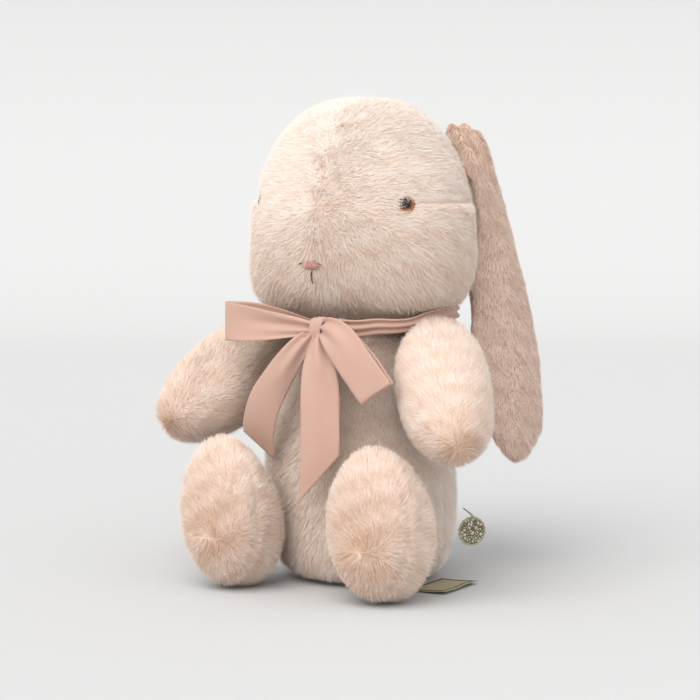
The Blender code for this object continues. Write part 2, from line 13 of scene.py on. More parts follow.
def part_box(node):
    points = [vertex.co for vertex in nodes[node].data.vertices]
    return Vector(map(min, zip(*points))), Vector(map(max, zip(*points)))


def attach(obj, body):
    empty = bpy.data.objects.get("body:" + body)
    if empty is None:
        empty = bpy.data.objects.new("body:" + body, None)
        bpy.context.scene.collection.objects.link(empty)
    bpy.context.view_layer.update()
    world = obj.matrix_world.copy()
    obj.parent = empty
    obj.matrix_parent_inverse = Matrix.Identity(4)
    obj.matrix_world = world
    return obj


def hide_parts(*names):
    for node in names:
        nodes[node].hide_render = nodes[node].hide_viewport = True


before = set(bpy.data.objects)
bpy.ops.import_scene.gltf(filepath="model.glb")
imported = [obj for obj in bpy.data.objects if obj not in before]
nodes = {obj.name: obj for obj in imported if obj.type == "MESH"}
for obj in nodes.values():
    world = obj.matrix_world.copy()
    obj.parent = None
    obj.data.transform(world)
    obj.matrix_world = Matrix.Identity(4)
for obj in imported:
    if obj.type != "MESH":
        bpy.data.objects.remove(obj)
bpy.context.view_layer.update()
UP = np.array([0.0, 0.0, 1.0])
ON_FLOOR = 0.0006  # covers stop this far above the floor
STRAND_ON_FLOOR = 0.0002
CLOTH_THICKNESS = 0.0004  # woven taffeta, with its sizing


# Small helpers


def unit(v):
    """The vector, or each row of vectors, brought to length one."""
    v = np.asarray(v, float)
    return v / np.maximum(np.linalg.norm(v, axis=-1, keepdims=True), 1e-12)


def smooth(x, low, high):
    """0 below low, 1 above high, and an even ramp between."""
    t = np.clip((np.asarray(x, float) - low) / (high - low), 0, 1)
    return t * t * (3 - 2 * t)


def bell(x, width):
    """1 in the middle, falling away over the width to both sides."""
    return np.exp(-((np.asarray(x, float) / width) ** 2))


def linear(r, g, b):
    """A colour given as it looks on a screen, from 0 to 1."""
    return [c / 12.92 if c <= 0.04045 else ((c + 0.055) / 1.055) ** 2.4 for c in (r, g, b)] + [1.0]


def wander(points, reach, seed):
    """A smooth random vector at each point, which changes over about that reach."""
    r = np.random.default_rng(seed)
    waves = r.normal(size=(10, 3)) * 2 * math.pi / reach
    phases = r.uniform(0, 2 * math.pi, 10)
    ways = r.normal(size=(10, 3))
    return np.sin(points @ waves.T + phases) @ ways / math.sqrt(10)


def new_object(name, points, faces, material):
    mesh = bpy.data.meshes.new(name)
    mesh.from_pydata(
        [tuple(map(float, p)) for p in points], [], [tuple(map(int, f)) for f in faces]
    )
    mesh.validate()
    mesh.shade_smooth()
    obj = bpy.data.objects.new(name, mesh)
    bpy.context.scene.collection.objects.link(obj)
    mesh.materials.append(material)
    return obj


def on_floor(points):
    """The same points, none of them below the resting height."""
    points[:, 2] = np.maximum(points[:, 2], ON_FLOOR)
    return points


def applied(obj):
    """The object's mesh with its modifiers applied."""
    mesh = bpy.data.meshes.new_from_object(
        obj.evaluated_get(bpy.context.evaluated_depsgraph_get())
    )
    obj.modifiers.clear()
    obj.data = mesh
    return obj


def positions(obj):
    co = np.empty(len(obj.data.vertices) * 3, np.float32)
    obj.data.vertices.foreach_get("co", co)
    return co.reshape(-1, 3).astype(float)


def put(obj, points):
    obj.data.vertices.foreach_set("co", np.asarray(points, np.float32).ravel())
    obj.data.update()


def vertex_normals(obj):
    no = np.empty(len(obj.data.vertices) * 3, np.float32)
    obj.data.vertex_normals.foreach_get("vector", no)
    return no.reshape(-1, 3).astype(float)


# Materials


def principled(name):
    """A material with its nodes, its links and its main shader."""
    m = bpy.data.materials.new(name)
    m.use_nodes = True
    return m, m.node_tree.nodes, m.node_tree.links, m.node_tree.nodes["Principled BSDF"]


def fibre(name, colour):
    """One shade of pile: a coat mixes several shades, strand by strand."""
    m, _, _, p = principled(name)
    p.inputs["Base Color"].default_value = colour
    p.inputs["Roughness"].default_value = 0.85
    p.inputs["Specular IOR Level"].default_value = 0.15
    p.inputs["Sheen Weight"].default_value = 0.25
    p.inputs["Sheen Roughness"].default_value = 0.6
    p.inputs["Sheen Tint"].default_value = linear(1.0, 0.96, 0.92)
    return m


def mottled(
    name, first, second, scale, rough=0.8, bump=0.1, bump_scale=900.0, sheen=0.0, ribs=0.0,
):
    """Two shades mixed by noise, with a fine bump and, for woven cloth, ribs."""
    m, n, l, p = principled(name)
    where = n.new("ShaderNodeTexCoord")
    noise = n.new("ShaderNodeTexNoise")
    noise.inputs["Scale"].default_value = scale
    noise.inputs["Detail"].default_value = 3.0
    mix = n.new("ShaderNodeMix")
    mix.data_type = "RGBA"
    mix.inputs["A"].default_value = first
    mix.inputs["B"].default_value = second
    l.new(where.outputs["Object"], noise.inputs["Vector"])
    l.new(noise.outputs["Fac"], mix.inputs["Factor"])
    l.new(mix.outputs["Result"], p.inputs["Base Color"])
    fine = n.new("ShaderNodeTexNoise")
    fine.inputs["Scale"].default_value = bump_scale
    l.new(where.outputs["Object"], fine.inputs["Vector"])
    height = fine.outputs["Fac"]
    if ribs:
        wave = n.new("ShaderNodeTexWave")
        wave.wave_type = "BANDS"
        wave.bands_direction = "Z"
        wave.inputs["Scale"].default_value = ribs
        wave.inputs["Distortion"].default_value = 0.4
        l.new(where.outputs["Object"], wave.inputs["Vector"])
        both = n.new("ShaderNodeMath")
        both.operation = "ADD"
        l.new(wave.outputs["Fac"], both.inputs[0])
        l.new(fine.outputs["Fac"], both.inputs[1])
        height = both.outputs["Value"]
    bumped = n.new("ShaderNodeBump")
    bumped.inputs["Strength"].default_value = bump
    bumped.inputs["Distance"].default_value = 0.0003
    l.new(height, bumped.inputs["Height"])
    l.new(bumped.outputs["Normal"], p.inputs["Normal"])
    p.inputs["Roughness"].default_value = rough
    p.inputs["Specular IOR Level"].default_value = 0.3
    p.inputs["Sheen Weight"].default_value = sheen
    return m


CREAM = fibre("pile_cream", linear(0.97, 0.93, 0.895))
LIGHT = fibre("pile_light", linear(0.955, 0.895, 0.85))
MID = fibre("pile_mid", linear(0.93, 0.845, 0.785))
SHADE = fibre("pile_shade", linear(0.88, 0.77, 0.69))
TAN = fibre("pile_tan", linear(0.82, 0.68, 0.57))
COAT = [CREAM, LIGHT, MID, SHADE, TAN]
# The ear's shades are its outer panel's own pink-tan, and darker still: painted shade, for the ear
# on the head's shaded side.
EAR_LIGHT = fibre("ear_pile_light", linear(0.94, 0.86, 0.81))
EAR_MID = fibre("ear_pile_mid", linear(0.90, 0.80, 0.74))
EAR_SHADE = fibre("ear_pile_shade", linear(0.85, 0.73, 0.65))
EAR_DEEP = fibre("ear_pile_deep", linear(0.68, 0.55, 0.46))
EAR_COAT = [EAR_LIGHT, EAR_MID, EAR_SHADE, EAR_DEEP]
BACKING = mottled("pile_backing", linear(0.89, 0.80, 0.73), linear(0.83, 0.72, 0.64), 120.0, 0.95)
# The ear's backing: its own pink-tan, darkened with painted shade like the ear's pile.
EAR_BACKING = mottled(
    "ear_backing", linear(0.74, 0.61, 0.53), linear(0.66, 0.53, 0.45), 120.0, 0.95
)
TAFFETA = mottled(
    "ribbon_taffeta", linear(0.77, 0.63, 0.57), linear(0.735, 0.585, 0.515), 40.0,
    rough=0.5, bump=0.12, bump_scale=2500.0, sheen=0.25, ribs=900.0,
)
NOSE_THREAD = mottled(
    "nose_thread", linear(0.80, 0.60, 0.56), linear(0.68, 0.47, 0.43), 600.0,
    rough=0.55, bump=0.3, bump_scale=3000.0,
)
DARK_THREAD = mottled(
    "mouth_thread", linear(0.26, 0.20, 0.18), linear(0.16, 0.12, 0.10), 600.0,
    rough=0.6, bump=0.3, bump_scale=3000.0,
)


# Stuffed forms: the CAD's closed shapes, pulled in by the pile's depth and blown up again as cloth


def joined(name, parts):
    """One mesh with the CAD parts' surfaces in it."""
    bm = bmesh.new()
    for part in parts:
        bm.from_mesh(nodes[part].data)
    mesh = bpy.data.meshes.new(name)
    bm.to_mesh(mesh)
    bm.free()
    obj = bpy.data.objects.new(name, mesh)
    bpy.context.scene.collection.objects.link(obj)
    return obj


def only_outside(obj):
    """Drops what the remesh leaves inside: the piece with the largest box stays."""
    bm = bmesh.new()
    bm.from_mesh(obj.data)
    seen, best, best_size = set(), [], 0.0
    for start in bm.verts:
        if start.index in seen:
            continue
        seen.add(start.index)
        group, stack = [], [start]
        while stack:
            v = stack.pop()
            group.append(v)
            for e in v.link_edges:
                w = e.other_vert(v)
                if w.index not in seen:
                    seen.add(w.index)
                    stack.append(w)
        co = np.array([v.co for v in group])
        size = float(np.linalg.norm(co.max(0) - co.min(0)))
        if size > best_size:
            best, best_size = group, size
    keep = {v.index for v in best}
    bmesh.ops.delete(bm, geom=[v for v in bm.verts if v.index not in keep], context="VERTS")
    bm.to_mesh(obj.data)
    bm.free()


def relax(obj, times):
    """Evens out the mesh, this many times."""
    bm = bmesh.new()
    bm.from_mesh(obj.data)
    for _ in range(times):
        bmesh.ops.smooth_vert(
            bm, verts=bm.verts, factor=0.5, use_axis_x=True, use_axis_y=True, use_axis_z=True
        )
    bm.to_mesh(obj.data)
    bm.free()
    obj.data.update()


INFLATE_FRAMES = 20


def inflate(obj, cap):
    """Cloth with air in it, its movement capped, and the result kept as the mesh."""
    start = positions(obj)
    cloth = obj.modifiers.new("cloth", "CLOTH")
    s = cloth.settings
    s.quality = 4
    s.mass = 0.2
    s.tension_stiffness = 12
    s.compression_stiffness = 12
    s.shear_stiffness = 6
    s.bending_stiffness = 0.4
    s.use_pressure = True
    s.uniform_pressure_force = 4.0
    s.effector_weights.gravity = 0
    cloth.collision_settings.use_collision = False
    cloth.point_cache.frame_start = 1
    cloth.point_cache.frame_end = INFLATE_FRAMES
    scene = bpy.context.scene
    for f in range(1, INFLATE_FRAMES + 1):
        scene.frame_set(f)
    applied(obj)
    scene.frame_set(1)
    move = positions(obj) - start
    far = np.linalg.norm(move, axis=1, keepdims=True)
    put(obj, start + move * np.minimum(1.0, cap / np.maximum(far, 1e-9)))


def stuffed(
    name, parts, body, voxel, depth, swell, soften=6,
    material=BACKING,
):
    """A padded cover in place of CAD parts: drawn in by the pile's depth, then blown up by
    the swell."""
    obj = joined(name, parts)
    remesh = obj.modifiers.new("remesh", "REMESH")
    remesh.mode = "VOXEL"
    remesh.voxel_size = voxel
    applied(obj)
    only_outside(obj)
    relax(obj, soften)
    put(obj, positions(obj) - vertex_normals(obj) * (depth + swell * 0.8))
    relax(obj, 2)
    inflate(obj, swell)
    relax(obj, 2)
    obj.modifiers.new("subdivision", "SUBSURF").levels = 1
    applied(obj)
    obj.data.materials.clear()
    obj.data.materials.append(material)
    obj.data.shade_smooth()
    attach(obj, body)
    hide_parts(*parts)
    return obj


def pressed(obj, depth):
    """Moves the surface in by the depth that a function of place gives."""
    points = positions(obj)
    put(obj, points - vertex_normals(obj) * np.asarray(depth(points))[:, None])


# Pile: one tapered strand for each few fibres, laid by a flow over the surface


def scatter(obj, per_mm2, seed):
    """Points spread evenly over a surface, with its smooth normals."""
    mesh = obj.data
    mesh.calc_loop_triangles()
    tri = np.empty(len(mesh.loop_triangles) * 3, np.int32)
    mesh.loop_triangles.foreach_get("vertices", tri)
    tri = tri.reshape(-1, 3)
    co, no = positions(obj), vertex_normals(obj)
    a, b, c = (co[tri[:, k]] for k in range(3))
    area = np.linalg.norm(np.cross(b - a, c - a), axis=1) / 2
    r = np.random.default_rng(seed)
    count = int(area.sum() * 1e6 * per_mm2)
    at = (np.arange(count) + r.random(count)) / count * area.sum()
    t = np.minimum(np.searchsorted(np.cumsum(area), at), len(tri) - 1)
    u, v = r.random((2, count, 1))
    u, v = np.where(u + v > 1, 1 - u, u), np.where(u + v > 1, 1 - v, v)
    points = a[t] + u * (b[t] - a[t]) + v * (c[t] - a[t])
    na, nb, nc = (no[tri[t, k]] for k in range(3))
    return points, unit(na * (1 - u - v) + nb * u + nc * v)


LEAD_EVERY = 9  # one strand in so many draws its neighbours together
SHORTEST = 0.12  # strands trimmed below this share are left out
ROOT_SINK = 0.0004


def grow(
    name, skin, body, flow, tone, trim=None, per_mm2=2.6, length=0.0066, rise=33.0, width=0.00048,
    clump=0.28, ruffle=0.3, seed=1, coat=COAT,
):
    """Covers a skin in three-sided tapered strands. flow says which way they lie, tone which
    shade of the coat each has, trim what share of the length is left; rise is their slope in
    degrees."""
    roots, normals = scatter(skin, per_mm2, seed)
    r = np.random.default_rng(seed + 100)
    if trim is not None:
        share = trim(roots)
        kept = share > SHORTEST
        roots, normals, share = roots[kept], normals[kept], share[kept]
    else:
        share = np.ones(len(roots))
    n = len(roots)
    lie = (
        flow(roots, normals) + ruffle * wander(roots, 0.02, seed + 5)
        + 0.22 * r.normal(size=(n, 3))
    )
    lie = unit(lie - normals * (lie * normals).sum(1, keepdims=True))
    long = (length * share * r.uniform(0.7, 1.15, n))[:, None]
    up = np.radians(rise * r.uniform(0.6, 1.5, n))[:, None]
    tips = roots + long * (lie * np.cos(up) + normals * np.sin(up))
    leaders = np.arange(0, n, LEAD_EVERY)
    tree = KDTree(len(leaders))
    for i, k in enumerate(leaders):
        tree.insert(roots[k], i)
    tree.balance()
    lead = leaders[np.fromiter((tree.find(p)[1] for p in roots), np.int64, n)]
    pull = clump * r.uniform(0.3, 1.0, n)[:, None]
    tips = tips * (1 - pull) + (tips[lead] + 0.25 * (roots - roots[lead])) * pull
    tips = on_floor(tips)
    axis = unit(tips - roots)
    side = unit(np.cross(axis, normals))
    ridge = np.cross(side, axis)
    half = (width * r.uniform(0.7, 1.2, n) / 2)[:, None]
    foot = roots - normals * ROOT_SINK
    corners = np.stack([foot - side * half, foot + side * half, foot + ridge * half, tips], axis=1)
    corners[..., 2] = np.maximum(corners[..., 2], STRAND_ON_FLOOR)

    # The upper faces take the skin's own direction, rounded off, so that the coat shades as one
    # surface
    lean = unit(normals + 0.20 * r.normal(size=(n, 3)) + 0.22 * UP)
    under = [-0.8 * side - 0.5 * ridge, -ridge, 0.8 * side - 0.5 * ridge]
    first, second = lean - 0.55 * side, lean + 0.55 * side
    top, tip = lean + 0.7 * ridge, lean + 0.4 * ridge
    shading = unit(np.stack(under + [second, tip, top, top, tip, first], axis=1))

    base = (np.arange(n) * 4)[:, None]
    faces = np.concatenate([base + [[0, 3, 1]], base + [[1, 3, 2]], base + [[2, 3, 0]]], axis=1)
    mesh = bpy.data.meshes.new(name)
    mesh.vertices.add(n * 4)
    mesh.vertices.foreach_set("co", corners.astype(np.float32).ravel())
    mesh.loops.add(n * 9)
    mesh.loops.foreach_set("vertex_index", faces.astype(np.int32).ravel())
    mesh.polygons.add(n * 3)
    mesh.polygons.foreach_set("loop_start", (np.arange(n * 3) * 3).astype(np.int32))
    mesh.polygons.foreach_set("use_smooth", np.ones(n * 3, bool))
    for m in coat:
        mesh.materials.append(m)
    which = np.clip(tone(roots, r), 0, len(coat) - 1).astype(np.int32)
    mesh.polygons.foreach_set("material_index", np.repeat(which, 3))
    mesh.update(calc_edges=True)
    mesh.normals_split_custom_set(shading.reshape(-1, 3).tolist())
    obj = bpy.data.objects.new(name, mesh)
    bpy.context.scene.collection.objects.link(obj)
    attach(obj, body)
    return obj


def blend_tone(points, r, middle, spread=0.7):
    """A shade number round a middle one, patchy over a few millimetres and mixed strand by
    strand."""
    patch = wander(points, 0.012, 31)[:, 0]
    return np.round(middle + 0.35 * patch + spread * r.normal(size=len(points)) * 0.8)


def downward(points):
    """The same way for every strand: straight down."""
    return np.tile(-UP, (len(points), 1))


# Head

EYES = {}
for word in ("left", "right"):
    co = positions(nodes[f"{word}_eye"])
    out = unit((co.mean(0) - np.array([0, 0, co[:, 2].mean()])))
    EYES[word] = co[np.argmax(co @ out)]
EYE_Z = EYES["left"][2]
nose_low, nose_high = (np.array(v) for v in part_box("nose_embroidery"))
NOSE = (nose_low + nose_high) / 2

head = stuffed(
    "head_cover",
    [
        "head_left_panel", "head_right_panel", "head_stuffing",
        "left_eye_washer", "right_eye_washer",
    ],
    "head", 0.004, 0.0030, 0.002,
)


def around(points):
    """Degrees round from the nose, the same to both sides."""
    return np.degrees(np.arctan2(np.abs(points[:, 0]), -points[:, 1]))


def head_seams(p):
    centre = 0.0005 * bell(p[:, 0], 0.0022)
    turn = around(p)
    dart = smooth(turn, 54, 64) * (1 - smooth(turn, 100, 112))
    height = p[:, 2] - (EYE_Z + 0.0010)
    crease = 0.0026 * bell(height, 0.0018) * dart
    above = 0.0012 * dart * smooth(height, 0.0, 0.002) * (1 - smooth(height, 0.004, 0.02))
    below = -0.0012 * dart * smooth(-height, 0.001, 0.004) * (1 - smooth(-height, 0.006, 0.022))
    socket = sum(0.0016 * bell(np.linalg.norm(p - e, axis=1), 0.010) for e in EYES.values())
    cheek = (1 - smooth(p[:, 2], 0.185, 0.225)) * smooth(np.abs(p[:, 0]), 0.015, 0.045)
    cheek = -cheek * np.where(p[:, 0] < 0, 0.0050, 0.0012)
    chin = -0.0028 * (1 - smooth(p[:, 2], 0.170, 0.185))
    return centre + crease + above + below + socket + cheek + chin


pressed(head, head_seams)


def head_flow(p, n):
    side = np.tanh(p[:, 0] / (0.005 + 0.016 * smooth(p[:, 2], 0.23, 0.28)))
    low = 1 - smooth(p[:, 2], 0.205, 0.262)
    back = np.full(len(p), 0.30)
    return np.stack([side * (1.0 - 0.35 * low), back, -0.10 - 0.85 * low], axis=1)


def head_trim(p):
    share = np.ones(len(p))
    for e in EYES.values():
        share *= smooth(np.linalg.norm(p - e, axis=1), 0.0060, 0.0112)
    share *= 0.35 + 0.65 * smooth(np.linalg.norm((p - NOSE) / [1, 1, 0.6], axis=1), 0.005, 0.010)
    mouth = np.linalg.norm((p - (NOSE - UP * 0.008)) / [0.6, 1, 1.2], axis=1)
    share *= 0.3 + 0.7 * smooth(mouth, 0.004, 0.008)
    share *= 1 + 0.45 * (1 - smooth(p[:, 2], 0.180, 0.215))
    return share


def head_tone(p, r):
    # Darker towards the bottom of the head: painted shade on the muzzle, cheeks and chin.
    middle = 0.6 + 1.2 * (1 - smooth(p[:, 2], 0.20, 0.28))
    return blend_tone(p, r, middle)


grow("head_pile", head, "head", head_flow, head_tone, head_trim, seed=11, per_mm2=3.0)

# Body

body = stuffed(
    "body_cover",
    ["body_front_panel", "body_back_panel", "base_panel", "body_stuffing", "pellet_pouch"],
    "torso", 0.004, 0.0030, 0.002,
)
put(body, on_floor(positions(body)))


def body_seams(p):
    side = -0.0045 * bell(p[:, 2] - 0.085, 0.035) * smooth(-p[:, 0], 0.015, 0.05)
    return side + 0.0012 * bell(p[:, 1], 0.002) * smooth(p[:, 2], 0.01, 0.03)


pressed(body, body_seams)


def body_flow(p, n):
    return downward(p) + np.outer(0.25 * np.tanh(p[:, 0] / 0.02), [1, 0, 0])


def body_trim(p):
    return (0.35 + 0.65 * smooth(-p[:, 2], -0.168, -0.150)) * np.where(p[:, 2] < 0.0012, 0.0, 1.0)


def body_tone(p, r):
    # Darker towards the front: painted shade on the belly, under the head and arms.
    front = smooth(-p[:, 1], 0.0, 0.04)
    return blend_tone(p, r, 0.8 + 0.7 * front)


grow("body_pile", body, "torso", body_flow, body_tone, body_trim, seed=21)

# Neck

stuffed("neck_cover", ["neck_stuffing"], "torso", 0.002, 0.0002, 0.0003, soften=3)

# Tail

tail = stuffed("tail_cover", ["tail"], "torso", 0.0025, 0.005, 0.001, soften=3)
put(tail, positions(tail) - [0, 0.0045, 0])
TAIL_MIDDLE = positions(tail).mean(0)


def tail_flow(p, n):
    return unit(p - TAIL_MIDDLE) + [0, 0.2, -0.5]


grow(
    "tail_pile", tail, "torso", tail_flow,
    lambda p, r: blend_tone(p, r, 0.8), length=0.0085, rise=50.0, per_mm2=2.4, seed=31,
)

# Arms, legs and ears

ARM_WAY = {1: unit([0.585, -0.627, -0.515]), -1: unit([-0.585, -0.627, -0.515])}
for side, word in ((1, "left"), (-1, "right")):
    parts = [f"{word}_arm_outer_panel", f"{word}_arm_inner_panel", f"{word}_arm_stuffing"]
    arm = stuffed(f"{word}_arm_cover", parts, f"{word}_arm", 0.0035, 0.0028, 0.0015)
    way = ARM_WAY[side]
    top = positions(arm)[:, 2].max()
    pressed(arm, lambda p, top=top: -0.0062 * smooth(p[:, 2], top - 0.05, top - 0.012))
    co = positions(arm)
    tip = co[np.argmax(co @ way)]

    def arm_flow(p, n, tip=tip):
        return unit(p - tip) + [0, 0.1, -0.12]

    def arm_tone(p, r, tip=tip):
        far = np.linalg.norm(p - tip, axis=1)
        return blend_tone(p, r, 1.8 + 1.8 * bell(far, 0.014) * r.uniform(0.4, 1.0, len(p)))

    grow(
        f"{word}_arm_pile", arm, f"{word}_arm", arm_flow, arm_tone,
        seed=41 + side, per_mm2=2.8,
    )

    parts = [
        f"{word}_{part}"
        for part in ("leg_outer_panel", "leg_inner_panel", "foot_sole", "leg_stuffing")
    ]
    leg = stuffed(f"{word}_leg_cover", parts, f"{word}_leg", 0.0035, 0.0028, 0.0015)
    co = positions(leg)
    front = co[np.argmin(co[:, 1])]
    whorl = np.array([front[0] + 0.004 * side, front[1], 0.036])

    def leg_seams(p, front=front):
        back = p[:, 1] - front[1]
        return 0.0010 * bell(back - 0.0105, 0.0018) - 0.0055 * smooth(back, 0.018, 0.034)

    pressed(leg, leg_seams)
    put(leg, on_floor(positions(leg)))

    def leg_flow(p, n, whorl=whorl):
        return unit((p - whorl) * [0.35, 1, 1]) + [0, 0.15, 0]

    def leg_tone(p, r, whorl=whorl):
        far = np.linalg.norm((p - whorl) / [1.2, 1.2, 1.5], axis=1)
        return blend_tone(p, r, 1.9 + 1.7 * bell(far, 0.017) * r.uniform(0.4, 1.0, len(p)))

    grow(
        f"{word}_leg_pile", leg, f"{word}_leg", leg_flow, leg_tone,
        lambda p: np.where(p[:, 2] < 0.001, 0.0, 1.0), seed=51 + side, per_mm2=2.8,
    )

    parts = [f"{word}_ear_outer_panel", f"{word}_ear_lining_panel"]
    ear = stuffed(
        f"{word}_ear_cover", parts, f"{word}_ear", 0.002, 0.0004, 0.0006,
        soften=3, material=EAR_BACKING,
    )
    # Wider than the inset left it, and its front edge tucked in behind the cheek and the arm
    across = unit(np.array([0.21 * side, 0.98, 0]))
    co = positions(ear)
    course = np.polyfit(co[:, 2], co @ across, 3)
    off = co @ across - np.polyval(course, co[:, 2])
    co += across * (0.20 * off)[:, None]
    tuck = (
        smooth(-off, 0.0, 0.014) * smooth(co[:, 2], 0.085, 0.12)
        * (1 - smooth(co[:, 2], 0.20, 0.25))
    )
    co += np.array([-side, 0.05, 0]) * (0.0085 * tuck)[:, None]
    put(ear, co)

    def ear_folds(p, across=across):
        u = p @ across
        root = smooth(p[:, 2], 0.235, 0.29)
        pleats = 0.0022 * root * np.sin(u * 2 * math.pi / 0.0095 + 6 * (p[:, 2] - 0.29) / 0.05)
        long_fold = 0.0009 * np.sin(u * 2 * math.pi / 0.03 + 9 * p[:, 2] / 0.1) * (1 - root)
        return pleats + long_fold

    pressed(ear, ear_folds)

    def ear_tone(p, r):
        # Darker towards the top: painted shade in the gathered pleats at the ear's root.
        return blend_tone(p, r, 1.0 + 0.5 * smooth(p[:, 2], 0.25, 0.29), 0.8)

    grow(
        f"{word}_ear_pile", ear, f"{word}_ear", lambda p, n: downward(p), ear_tone,
        length=0.0052, rise=17.0, width=0.0005, per_mm2=2.4, clump=0.5, ruffle=0.35,
        seed=61 + side, coat=EAR_COAT,
    )

# Ribbon


def along_route(points, steps):
    """Values on a smooth curve through rows of numbers, steps to each span."""
    p = np.asarray(points, float)
    p = np.vstack([2 * p[0] - p[1], p, 2 * p[-1] - p[-2]])
    rows = []
    for i in range(1, len(p) - 2):
        a, b, c, d = p[i - 1 : i + 3]
        bend, twist = 2 * a - 5 * b + 4 * c - d, 3 * b - a - 3 * c + d
        for t in np.linspace(0, 1, steps, endpoint=False):
            rows.append(0.5 * (2 * b + (c - a) * t + bend * t**2 + twist * t**3))
    rows.append(p[-2])
    return np.array(rows)


def ribbon(
    name, stations, node, steps=10, columns=17, pleats=2.0, phase=0.0, cut=0.0,
):
    """stations: (x, y, z, across x, y, z, width, cup, gather) down the ribbon's middle.
    cut slants the last end: how much further one edge runs than the other."""
    rows = along_route(stations, steps)
    middle, across = rows[:, :3], unit(rows[:, 3:6])
    width, cup, gather = rows[:, 6], rows[:, 7], rows[:, 8]
    runs = unit(np.gradient(middle, axis=0))
    across = unit(across - runs * (across * runs).sum(1, keepdims=True))
    face = np.cross(runs, across)
    s = np.linspace(-1, 1, columns)
    ripple = np.sin(s * math.pi * pleats + phase)
    grid = (
        middle[:, None]
        + across[:, None] * (s[None, :, None] * width[:, None, None] / 2)
        + face[:, None] * (cup[:, None] * (1 - s**2) + gather[:, None] * ripple)[..., None]
    )
    if cut:
        share = smooth(np.arange(len(rows)) / (len(rows) - 1), 0.62, 1.0)
        grid += runs[:, None] * (share[:, None] * cut * s[None] / 2)[..., None]
    count = len(rows)
    faces = [
        (i * columns + j, i * columns + j + 1, (i + 1) * columns + j + 1, (i + 1) * columns + j)
        for i in range(count - 1)
        for j in range(columns - 1)
    ]
    obj = new_object(name, grid.reshape(-1, 3), faces, TAFFETA)
    thick = obj.modifiers.new("thickness", "SOLIDIFY")
    thick.thickness = CLOTH_THICKNESS
    thick.offset = 0
    applied(obj)
    obj.data.shade_smooth()
    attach(obj, "torso")
    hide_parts(node)
    return obj


def band_stations():
    """Once round the neck, from one side of the knot to the other, crumpled a little."""
    rows, spans = [], 32
    for i in range(spans + 1):
        a = math.radians(6 + 348 * i / spans)
        lift = (1 - math.cos(2 * a)) / 2
        back = (1 - math.cos(a)) / 2
        x, y = 0.0605 * math.sin(a), -0.0575 * math.cos(a) + 0.004 * back
        wobble = 0.0012 * math.sin(5 * a) + 0.0007 * math.sin(11 * a)
        z = 0.1690 + 0.0068 * lift + 0.002 * back + wobble
        width = 0.0115 + 0.0018 * math.sin(3 * a + 1)
        rows.append([x, y, z, 0.25 * math.sin(a), -0.25 * math.cos(a), 1, width, 0.0015, 0.0014])
    return rows


ribbon(
    "neck_band", band_stations(), "ribbon_neck_band",
    steps=3, columns=13, pleats=2.6, phase=0.4,
)

ribbon(
    "bow_loop_right",
    [
        (0.0045, -0.0675, 0.1715, 0.0, 0.1, 1, 0.0080, 0.001, 0.0012),
        (-0.0080, -0.0710, 0.1720, 0.0, 0.05, 1, 0.0130, 0.002, 0.0012),
        (-0.0240, -0.0760, 0.1725, 0.0, 0.0, 1, 0.0185, 0.0025, 0.0006),
        (-0.0420, -0.0780, 0.1732, 0.0, 0.0, 1, 0.0235, 0.0015, 0.0001),
        (-0.0560, -0.0765, 0.1737, 0.0, 0.0, 1, 0.0250, 0.0, 0.0),
        (-0.0590, -0.0735, 0.1738, 0.0, 0.0, 1, 0.0250, 0.0, 0.0),
        (-0.0560, -0.0705, 0.1740, 0.0, 0.0, 1, 0.0250, 0.0, 0.0),
        (-0.0420, -0.0670, 0.1745, 0.0, 0.15, 1, 0.0230, -0.0015, 0.0003),
        (-0.0240, -0.0645, 0.1735, 0.0, 0.2, 1, 0.0180, -0.002, 0.0006),
        (-0.0080, -0.0640, 0.1725, 0.0, 0.2, 1, 0.0120, -0.001, 0.0012),
        (0.0045, -0.0640, 0.1715, 0.0, 0.1, 1, 0.0080, 0.0, 0.0012),
    ],
    "ribbon_right_loop", phase=0.5,
)
ribbon(
    "bow_loop_left",
    [
        (0.0090, -0.0670, 0.1720, 0.35, 0.0, 1, 0.0090, 0.0, 0.0012),
        (0.0180, -0.0705, 0.1705, 0.55, 0.1, 0.8, 0.0180, 0.0015, 0.0012),
        (0.0290, -0.0735, 0.1635, 0.75, 0.1, 0.6, 0.0240, 0.0015, 0.0004),
        (0.0420, -0.0750, 0.1490, 0.85, 0.08, 0.52, 0.0250, 0.0008, 0.0),
        (0.0535, -0.0745, 0.1350, 0.86, 0.08, 0.51, 0.0255, 0.0, 0.0),
        (0.0547, -0.0727, 0.1335, 0.86, 0.08, 0.51, 0.0255, 0.0, 0.0),
        (0.0530, -0.0710, 0.1352, 0.86, 0.08, 0.51, 0.0255, 0.0, 0.0),
        (0.0410, -0.0690, 0.1490, 0.85, 0.08, 0.52, 0.0245, 0.0, 0.0),
        (0.0270, -0.0670, 0.1625, 0.75, 0.1, 0.6, 0.0200, 0.0, 0.0004),
        (0.0150, -0.0650, 0.1700, 0.55, 0.1, 0.8, 0.0130, 0.0, 0.0012),
        (0.0085, -0.0640, 0.1715, 0.35, 0.0, 1, 0.0090, 0.0, 0.0012),
    ],
    "ribbon_left_loop", phase=1.1,
)
ribbon(
    "bow_tail_center",
    [
        (0.0085, -0.0680, 0.1680, 1, 0.3, 0, 0.0060, 0.0, 0.0010),
        (0.0100, -0.0705, 0.1600, 1, 0.3, 0, 0.0120, 0.002, 0.0016),
        (0.0120, -0.0730, 0.1490, 1, 0.3, 0, 0.0205, 0.002, 0.0010),
        (0.0138, -0.0745, 0.1350, 1, 0.32, 0, 0.0250, 0.001, 0.0002),
        (0.0146, -0.0755, 0.1150, 1, 0.34, 0, 0.0255, 0.0006, 0.0),
        (0.0146, -0.0755, 0.0950, 1, 0.32, 0, 0.0255, 0.0, 0.0),
        (0.0136, -0.0750, 0.0760, 1, 0.30, 0.05, 0.0255, -0.0006, 0.0),
    ],
    "ribbon_center_tail", pleats=1.6, phase=1.6, cut=-0.032,
)
